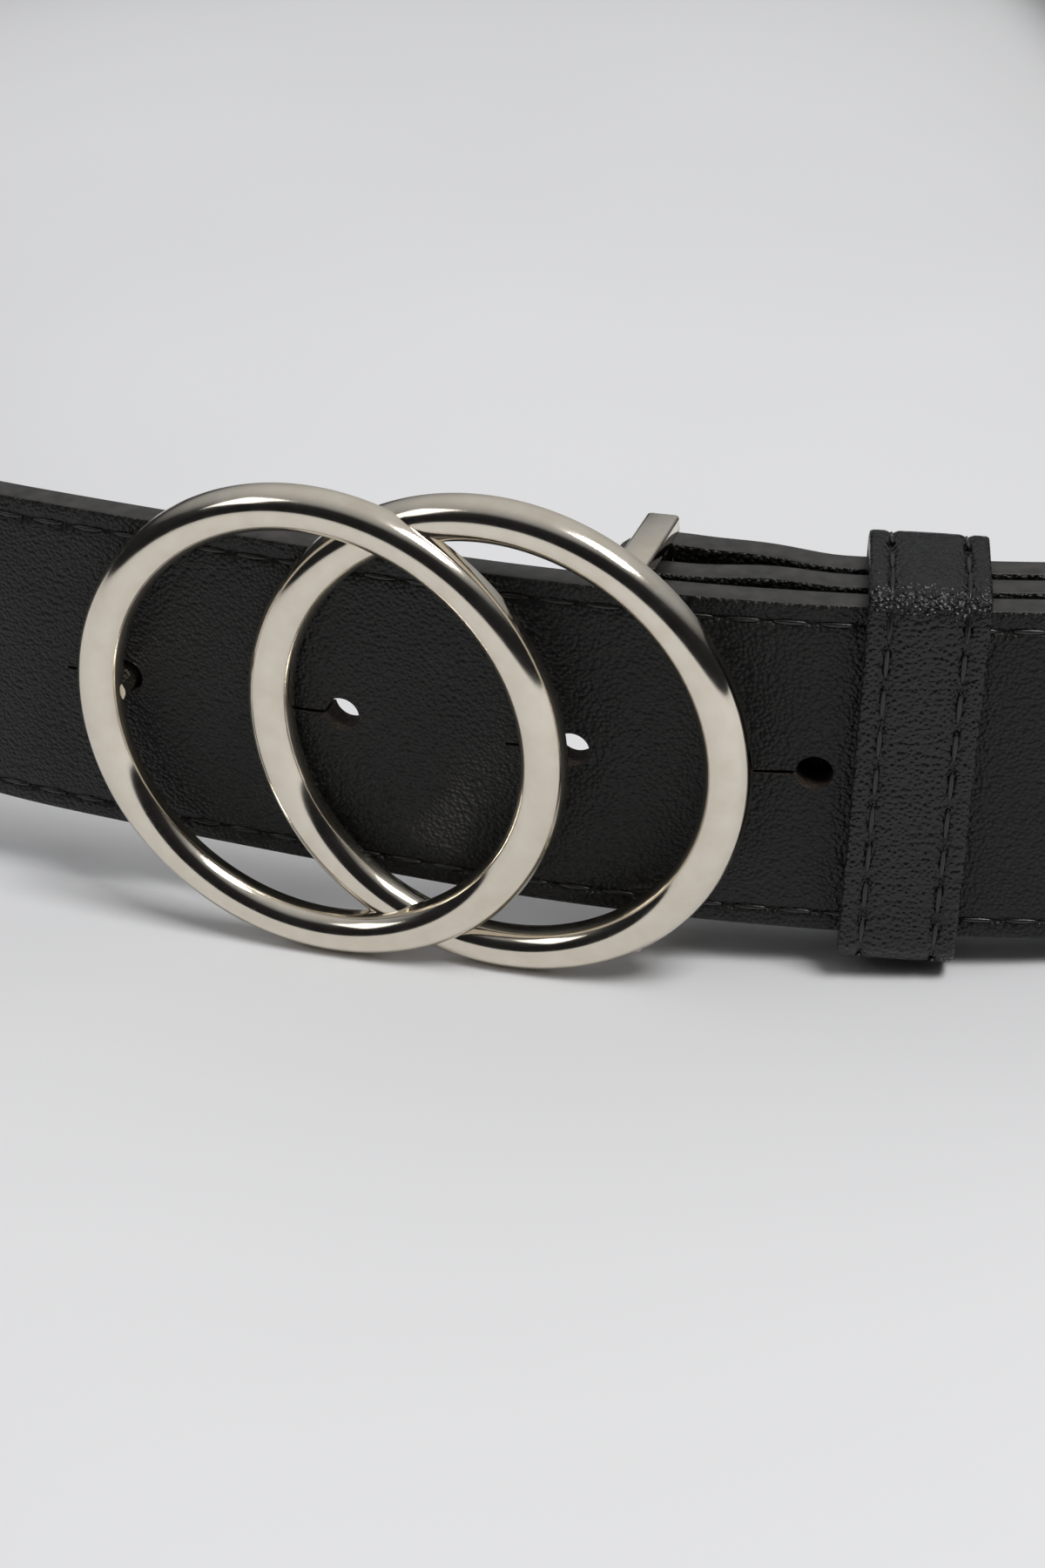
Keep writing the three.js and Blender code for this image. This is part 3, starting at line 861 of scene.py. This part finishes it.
def build_buckle(metal):
    """Both rings, the legs, the bar and the stud joined into one casting."""
    inner = loop_point(BAR_STATION, flap_offset(BAR_STATION))
    outer = loop_point(BAR_STATION, second_offset(BAR_STATION))
    bar = (inner + outer) / 2
    low = lift(BAR_STATION) - LEG["below"] - LEG["thickness"] / 2
    high = lift(BAR_STATION) + STRAP_WIDTH + LEG["above"] + LEG["thickness"] / 2
    meshes = [
        ring_mesh("front_ring", -RING_SPACING / 2, 0.0),
        ring_mesh("rear_ring", RING_SPACING / 2, REAR_RING_SETBACK),
        *leg_meshes(bar, low, high),
        bar_mesh(bar, low, high),
        stud_mesh(),
    ]
    buckle = add_object("cast_ring_buckle", meshes[0], [metal])
    others = []
    for mesh in meshes[1:]:
        other = add_object("joined", mesh, [metal])
        modifier = buckle.modifiers.new("join", "BOOLEAN")
        modifier.operation = "UNION"
        modifier.solver = "EXACT"
        modifier.object = other
        others.append(other)
    bake_modifiers(buckle)
    for other in others:
        bpy.data.objects.remove(other)
    buckle.data.shade_smooth()
    buckle.data.set_sharp_from_angle(angle=BUCKLE_SHARP_ANGLE)
    return buckle


def build_camera():
    """Places the camera and returns the turn from its own right and back to the frame's."""
    rise, roll, yaw = (math.radians(CAMERA[key]) for key in ("elevation", "roll", "yaw"))
    view_axes = [
        Vector((math.cos(roll), -math.sin(roll) * math.sin(rise), -math.sin(roll) * math.cos(rise))),
        Vector((math.sin(roll), math.cos(roll) * math.sin(rise), math.cos(roll) * math.cos(rise))),
        Vector((0, -math.cos(rise), math.sin(rise))),
    ]
    turn = Matrix.Rotation(yaw, 3, "Z")
    matrix = Matrix([turn @ axis for axis in view_axes]).transposed().to_4x4()
    ring_centre = Vector((-RING_SPACING / 2, 0, 0)) + SHIFT
    place = ring_centre + Vector((CAMERA["right"], CAMERA["back"], CAMERA["height"]))
    matrix.translation = place * MM
    data = bpy.data.cameras.new("camera")
    data.lens = CAMERA["lens"]
    data.sensor_width = 36
    data.clip_start = 0.01
    camera = bpy.data.objects.new("camera", data)
    camera.matrix_world = matrix
    bpy.context.scene.collection.objects.link(camera)
    bpy.context.scene.camera = camera
    return turn


def add_light(box, turn):
    """A square softbox aimed at the buckle."""
    towards = (turn @ Vector(box["direction"])).normalized()
    data = bpy.data.lights.new(box["name"], "AREA")
    data.size = box["size"]
    data.energy = box["watts"]
    light = bpy.data.objects.new(box["name"], data)
    light.location = (SOFTBOX_AIM + SHIFT) * MM + towards * box["distance"]
    light.rotation_mode = "QUATERNION"
    light.rotation_quaternion = (-towards).to_track_quat("-Z", "Y")
    bpy.context.scene.collection.objects.link(light)


def build_floor():
    """The studio board."""
    corners = [(x * FLOOR_REACH, y * FLOOR_REACH, 0) for x, y in ((-1, -1), (1, -1), (1, 1), (-1, 1))]
    mesh = bpy.data.meshes.new("floor")
    mesh.from_pydata(corners, [], [(0, 1, 2, 3)])
    add_object("floor", mesh, [floor_card()])


def build_room():
    """A bright ceiling over darker walls, with the backdrop behind the belt lighter than the front."""
    world = bpy.data.worlds.new("studio")
    bpy.context.scene.world = world
    world.use_nodes = True
    tree = world.node_tree
    place = tree.nodes.new("ShaderNodeTexCoord")
    split = tree.nodes.new("ShaderNodeSeparateXYZ")
    tree.links.new(place.outputs["Generated"], split.inputs[0])
    height = tree.nodes.new("ShaderNodeMath")
    height.operation = "MULTIPLY_ADD"
    height.inputs[1].default_value = ROOM_BACKDROP
    tree.links.new(split.outputs["Y"], height.inputs[0])
    tree.links.new(split.outputs["Z"], height.inputs[2])
    ramp = tree.nodes.new("ShaderNodeValToRGB")
    for position, colour in ROOM_COLOURS:
        element = ramp.color_ramp.elements.new(position)
        element.color = srgb(colour)
    ramp.color_ramp.elements.remove(ramp.color_ramp.elements[0])
    ramp.color_ramp.elements.remove(ramp.color_ramp.elements[-1])
    tree.links.new(height.outputs[0], ramp.inputs["Fac"])
    background = tree.nodes["Background"]
    tree.links.new(ramp.outputs["Color"], background.inputs["Color"])
    background.inputs["Strength"].default_value = ROOM_STRENGTH


camera_turn = build_camera()
for softbox in SOFTBOXES:
    add_light(softbox, camera_turn)
build_floor()
build_room()
bpy.context.scene.view_settings.view_transform = "Standard"

paint = edge_paint()
thread = waxed_thread()
stitching = stitch_group()

strap = build_strap(strap_leather(), paint, raw_hole_wall())
strap_paths = strap_stitch_paths(1) + strap_stitch_paths(-1)
strap_rows = stitch_rows("strap_stitches", strap_paths, stitching, thread)
keeper = build_keeper(keeper_leather(), paint)
keeper_rows = stitch_rows("keeper_stitches", keeper_stitch_paths(), stitching, thread)
buckle = build_buckle(polished_nickel())

for piece, node, slot in (
    (strap, "strap", "strap_leather"),
    (strap_rows, "strap", "strap_leather"),
    (keeper, "keeper", "keeper_leather"),
    (keeper_rows, "keeper", "keeper_leather"),
    (buckle, "ring_buckle", "buckle_metal"),
):
    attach(piece, "root")
    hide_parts(node)
